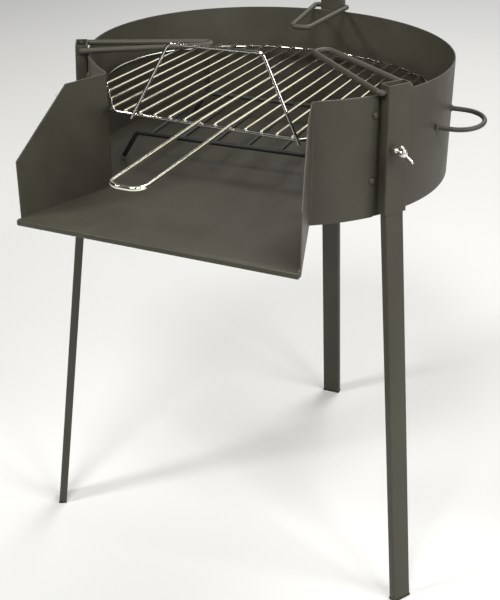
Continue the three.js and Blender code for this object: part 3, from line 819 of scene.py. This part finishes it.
def grill_grid():
    shape = Shape()
    steps = 120
    arc = []
    for i in range(steps + 1):
        t = -grill_side + (math.pi + 2 * grill_side) * i / steps
        arc.append(Vector((grill_radius * math.cos(t), grill_radius * math.sin(t), 0)))
    corners = [Vector((sign * grill_corner[sign], -grill_chord, 0)) for sign in (-1, 1)]
    front = rounded_run([arc[-1], *corners, arc[0]], 9 * MM, 7)[1:-1]
    # the outline wire takes slot 2, the darker chrome copy: painted shade
    rod(shape, [on_grill(p) for p in arc + front], wire_radius, 16, closed=True, kind=2)
    weld_bite = 0.7 * MM
    bar_overhang = 1.6 * MM
    most_sag = 0.25
    lift = 2 * wire_radius - weld_bite
    for i in range(bars_per_side):
        for sign in (-1, 1):
            x = sign * (i + 0.5) * bar_pitch
            if min(abs(x - h) for h in handle_bars) < MM:
                continue
            y0, y1 = grill_reach(x)
            sag = luck.uniform(-most_sag, most_sag) * MM
            run = [(x, y0 - bar_overhang, lift), (x + sag, 0.5 * (y0 + y1), lift),
                   (x, y1 + bar_overhang, lift)]
            rod(shape, [on_grill(p) for p in run], wire_radius, 16)
            for y in (y0, y1):
                nugget(shape, on_grill((x, y, 0.5 * lift)), 2.3 * MM, 0.8)
    make_piece("grill_wires", shape, "grill", ["grill_grid"], [chrome, weld_chrome, shaded_chrome])


def grill_handle():
    shape = Shape()
    level = wire_radius + handle_radius + gap
    left, right = handle_bars
    sag = (handle_reach - grill_chord) * math.tan(handle_droop)
    rear_overhang = 2 * MM
    rear = [grill_reach(x)[1] + rear_overhang for x in handle_bars]
    corners = [(left, rear[0], level), (left, -grill_chord, level), (left, -handle_reach, level - sag),
               (right, -handle_reach, level - sag), (right, -grill_chord, level), (right, rear[1], level)]
    rod(shape, [on_grill(p) for p in rounded_run(corners, 15 * MM, 12)], handle_radius, 18)
    for x, y_rear in zip(handle_bars, rear):
        for y in (-grill_chord, y_rear - rear_overhang):
            nugget(shape, on_grill((x, y, 0.45 * level)), 2.4 * MM, 0.8)
    make_piece("handle_wire", shape, "grill", ["grill_handle"], [chrome, weld_chrome])


def grill_bail():
    shape = Shape()
    y = -grill_chord - 2 * wire_radius - gap - 1.8 * MM
    run = [(bail_middle - bail_foot_half, y, -bail_overhang),
           (bail_middle - bail_top_half, y, bail_height[-1]),
           (bail_middle + bail_top_half, y, bail_height[1]),
           (bail_middle + bail_foot_half, y, -bail_overhang)]
    rod(shape, [on_grill(p) for p in rounded_run(run, 9 * MM, 10)], wire_radius, 16)
    for sign in (-1, 1):
        lean = (bail_foot_half - bail_top_half) / (bail_height[sign] + bail_overhang)
        x = bail_middle + sign * (bail_foot_half - bail_overhang * lean)
        nugget(shape, on_grill((x, y + 1.9 * MM, 0)), 2.0 * MM, 0.9)
    # the bail takes the darker chrome copy: painted shade
    make_piece("bail_wire", shape, "grill", ["grill_bail"], [shaded_chrome, weld_chrome])


# ------------------------------------------------------------------ fire grate
def grate_bridge(shape, y, half_width):
    foot = floor_level + gap + grate_radius
    run = [(-half_width - grate_foot_out, y, foot), (-half_width, y, grate_level),
           (half_width, y, grate_level), (half_width + grate_foot_out, y, foot)]
    rod(shape, [on_grate(p) for p in rounded_run(run, 8 * MM, 8)], grate_radius, 16)


def fire_grate():
    shape = Shape()
    bar_overhang = 1 * MM
    weld_inset = 2 * MM
    post_inset = 3 * MM
    grate_bridge(shape, grate_front, grate_front_half)
    grate_bridge(shape, grate_rear, grate_rear_half)
    for i in range(-grate_bars_each_side, grate_bars_each_side + 1):
        x = i * grate_bar_pitch
        rod(shape, [on_grate((x, grate_front - bar_overhang, grate_level)),
                    on_grate((x, grate_rear + bar_overhang, grate_level))], grate_bar_radius, 14)
        for y in (grate_front + weld_inset, grate_rear - weld_inset):
            nugget(shape, on_grate((x, y, grate_level)), 2.9 * MM, 0.9, kind=0)
    for x in (post_inset - grate_rear_half, grate_rear_half - post_inset):
        post = grate_turn @ Vector((x, grate_rear, 0))
        top = grill_centre.z + grill_rise_x * post.x + grill_rise_y * post.y - wire_radius - 1.2 * MM
        rod(shape, [on_grate((x, grate_rear, grate_level - 2 * MM)), on_grate((x, grate_rear, top))],
            grate_radius, 16)
        nugget(shape, on_grate((x, grate_rear, grate_level + 3 * MM)), 3.5 * MM, 0.8, kind=0)
    make_piece("grate_wires", shape, "fire_grate", ["fire_grate"], [grate_paint])


# ------------------------------------------------------------------ small carried-over parts
def finish_cad_node(name, material, width):
    """A CAD piece whose shape is right: it gets its material and softened edges."""
    piece = frame["nodes"][name]
    piece.data.materials.clear()
    piece.data.materials.append(material)
    add_bevel(piece, width)


def small_parts():
    for place in places:
        finish_cad_node(f"foot_cap_{place}", plastic, 0.5 * MM)
        finish_cad_node(f"clamp_nut_{place}", paint, 0.4 * MM)
    for side in ("left", "right"):
        finish_cad_node(f"grill_rest_{side}", paint, 0.2 * MM)
        for level in ("upper", "lower"):
            finish_cad_node(f"flange_bolt_{side}_{level}", paint, 0.3 * MM)
            finish_cad_node(f"flange_nut_{side}_{level}", zinc, 0.3 * MM)


# ------------------------------------------------------------------ studio
def studio_floor():
    half = 30.0
    mesh = bpy.data.meshes.new("studio_floor")
    mesh.from_pydata([(-half, -half, 0), (half, -half, 0), (half, half, 0), (-half, half, 0)], [],
                     [(0, 1, 2, 3)])
    mesh.materials.append(floor_material())
    ground = bpy.data.objects.new("studio_floor", mesh)
    bpy.context.scene.collection.objects.link(ground)


camera_place = (0.590, -1.340, 1.087)
camera_heading = math.radians(-21.85)
camera_down = math.radians(28.74)
camera_roll = math.radians(1.19)
camera_lens = 69.72
camera_sensor = 36
camera_shift = (-0.0632, 0.0752)

world_colour = (1.0, 0.99, 0.97, 1)
world_strength = 0.05
drum_middle = (0, axis.y, rim)
warm_white = (1, 0.99, 0.96)
# name, place, target, width and height, power, colour
lights = (
    ("key", (2.1, -1.5, 2.5), drum_middle, (0.7, 0.7), 30, warm_white),
    ("right", (2.4, -0.3, 1.7), drum_middle, (1.2, 1.2), 46, warm_white),
    ("rear", (0.5, 2.7, 1.8), drum_middle, (2.6, 0.9), 9, (1, 0.95, 0.82)),
    ("rear_left", (-1.7, 2.0, 1.9), drum_middle, (1.5, 1.5), 3, (1, 0.97, 0.9)),
    ("left", (-1.5, -1.6, 2.5), drum_middle, (0.45, 0.45), 42, (1, 0.99, 0.95)),
    ("front_high", (0.3, -1.9, 3.0), drum_middle, (0.8, 0.8), 60, (1, 0.99, 0.95)),
    ("top", (0, 0.1, 2.9), drum_middle, (1.6, 1.6), 6, warm_white),
    ("backdrop", (0.2, 3.4, 4.6), (-0.9, 2.4, 0), (3, 2), 180, (1, 1, 1)),
)


def area_light(name, place, target, size, power, colour):
    data = bpy.data.lights.new(name, "AREA")
    data.shape = "RECTANGLE"
    data.size, data.size_y = size
    data.energy = power
    data.color = colour
    lamp = bpy.data.objects.new(name, data)
    lamp.location = place
    lamp.rotation_euler = (Vector(target) - Vector(place)).to_track_quat("-Z", "Y").to_euler()
    bpy.context.scene.collection.objects.link(lamp)


def studio_light():
    world = bpy.data.worlds.new("studio")
    world.use_nodes = True
    background = world.node_tree.nodes["Background"]
    background.inputs["Color"].default_value = world_colour
    background.inputs["Strength"].default_value = world_strength
    bpy.context.scene.world = world
    for light in lights:
        area_light(*light)


def camera():
    data = bpy.data.cameras.new("camera")
    data.sensor_width = camera_sensor
    data.lens = camera_lens
    data.shift_x, data.shift_y = camera_shift
    data.clip_end = 100
    forward = Vector((math.sin(camera_heading) * math.cos(camera_down),
                      math.cos(camera_heading) * math.cos(camera_down),
                      -math.sin(camera_down)))
    level = forward.cross(Vector((0, 0, 1))).normalized()
    upright = level.cross(forward)
    right = level * math.cos(camera_roll) + upright * math.sin(camera_roll)
    up = right.cross(forward)
    turn = Matrix((right, up, -forward)).transposed().to_4x4()
    eye = bpy.data.objects.new("camera", data)
    eye.matrix_world = Matrix.Translation(camera_place) @ turn
    bpy.context.scene.collection.objects.link(eye)
    bpy.context.scene.camera = eye


bpy.context.scene.view_settings.view_transform = "Standard"
camera()
studio_light()
studio_floor()
drum_wall()
wing(1, "wing_right")
wing(-1, "wing_left")
floor_pan()
for place in places:
    socket(place)
    leg(place)
    pan_arm(place)
    wing_screw(place)
side_handle(1, "right")
side_handle(-1, "left")
grill_grid()
grill_handle()
grill_bail()
fire_grate()
small_parts()
